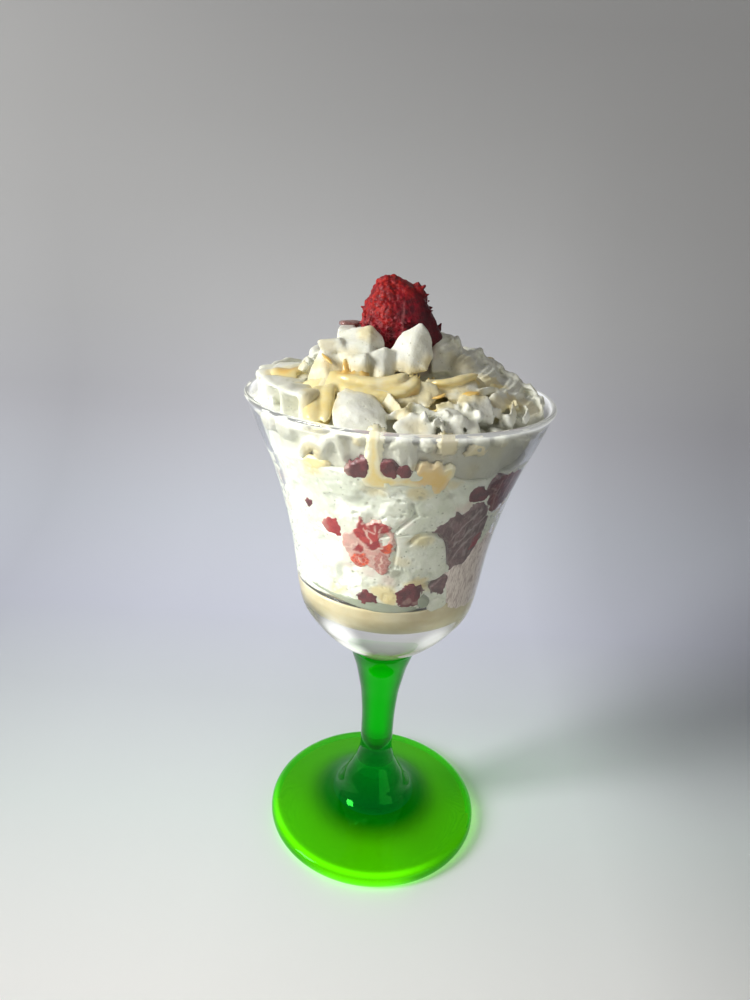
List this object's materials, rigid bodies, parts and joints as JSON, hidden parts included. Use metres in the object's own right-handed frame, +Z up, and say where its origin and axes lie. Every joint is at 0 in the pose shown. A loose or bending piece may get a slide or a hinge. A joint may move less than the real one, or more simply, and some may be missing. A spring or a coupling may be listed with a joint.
{
  "type": "strawberries and cream in a goblet",
  "caption": "Layered strawberries, custard and piped whipped cream served in a clear footed goblet with a green stem, a cut strawberry standing on top.",
  "frame": {"origin": "centre of the foot's underside, on the table", "axes": "+Z up along the stem; -Y is the side with the large cut strawberry behind the glass; +X to its right"},
  "size_m": [0.084, 0.084, 0.1754],
  "materials": {
    "clear_glass": "clear, smooth",
    "green_glass": "clear green, smooth",
    "whipped_cream": "soft, fine-pored",
    "cream_between_fruit": "soft, porous",
    "custard": "smooth, glossy",
    "strawberry_flesh": "wet, fibrous",
    "strawberry_cut": "wet, pale veins",
    "strawberry_shaded": "wet, dark"
  },
  "bodies": {
    "root": {"goblet_bowl": "clear_glass", "goblet_stem": "green_glass", "custard_layer": "custard", "custard_band": "custard", "cream_lower": "cream_between_fruit", "cream_middle": "cream_between_fruit", "cream_top": "whipped_cream", "strawberry_top": "strawberry_flesh", "strawberry_slice": "strawberry_shaded", "strawberry_front": "strawberry_cut", "strawberry_left": "strawberry_flesh", "strawberry_left_bit": "strawberry_shaded", "strawberry_right_slant": "strawberry_shaded", "strawberry_right_slice": "strawberry_shaded", "strawberry_right_high": "strawberry_flesh", "strawberry_right_small": "strawberry_flesh", "strawberry_floor_left": "strawberry_shaded", "strawberry_floor_right": "strawberry_shaded", "strawberry_floor_side": "strawberry_shaded", "strawberry_under_rim_left": "strawberry_shaded", "strawberry_under_rim_right": "strawberry_shaded", "strawberry_under_rim_side": "strawberry_shaded"}
  },
  "joints": []
}
